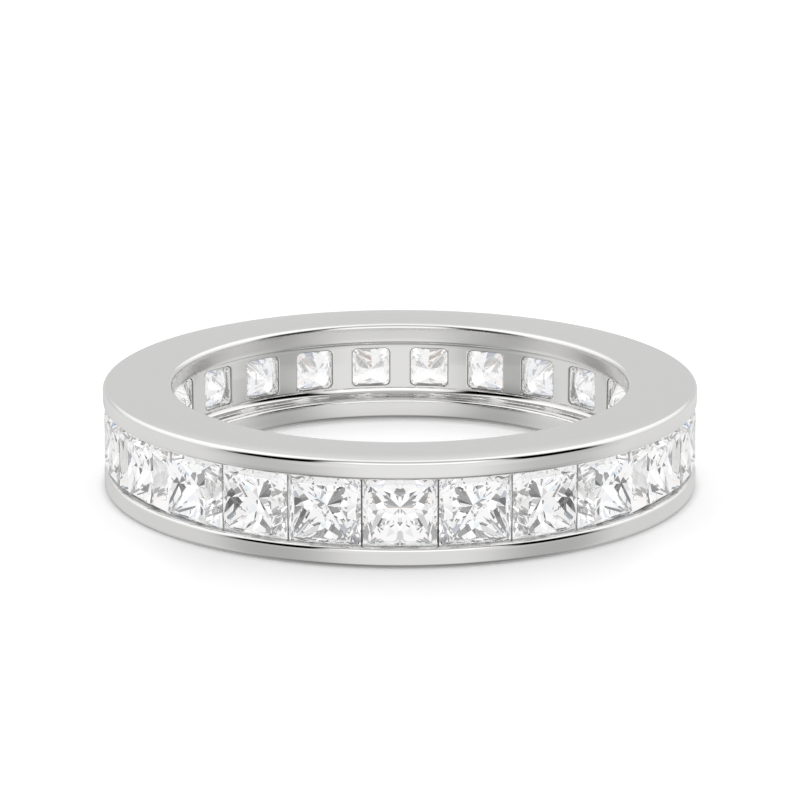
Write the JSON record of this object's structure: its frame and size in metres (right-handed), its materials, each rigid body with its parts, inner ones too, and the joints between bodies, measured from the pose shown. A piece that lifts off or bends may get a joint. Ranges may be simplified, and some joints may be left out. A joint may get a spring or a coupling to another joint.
{
  "type": "channel set eternity ring",
  "caption": "Flat-sided finger ring with square cut stones held in a channel between two polished rails all the way round.",
  "frame": {"origin": "centre of the finger hole on the plane that the lower rail's side face rests on", "axes": "+Z along the finger hole, up out of the face that the ring rests on; stone_01 faces -Y and the numbers run counterclockwise seen from above"},
  "size_m": [0.0216, 0.0216, 0.0037],
  "materials": {
    "white_gold": "mirror-polished white gold with rhodium plating",
    "diamond": "colourless stone with sharp polished facets"
  },
  "bodies": {
    "root": {"band": "white_gold", "stone_01": "diamond", "stone_02": "diamond", "stone_03": "diamond", "stone_04": "diamond", "stone_05": "diamond", "stone_06": "diamond", "stone_07": "diamond", "stone_08": "diamond", "stone_09": "diamond", "stone_10": "diamond", "stone_11": "diamond", "stone_12": "diamond", "stone_13": "diamond", "stone_14": "diamond", "stone_15": "diamond", "stone_16": "diamond", "stone_17": "diamond", "stone_18": "diamond", "stone_19": "diamond", "stone_20": "diamond", "stone_21": "diamond", "stone_22": "diamond", "stone_23": "diamond", "stone_24": "diamond", "stone_25": "diamond"}
  },
  "joints": []
}
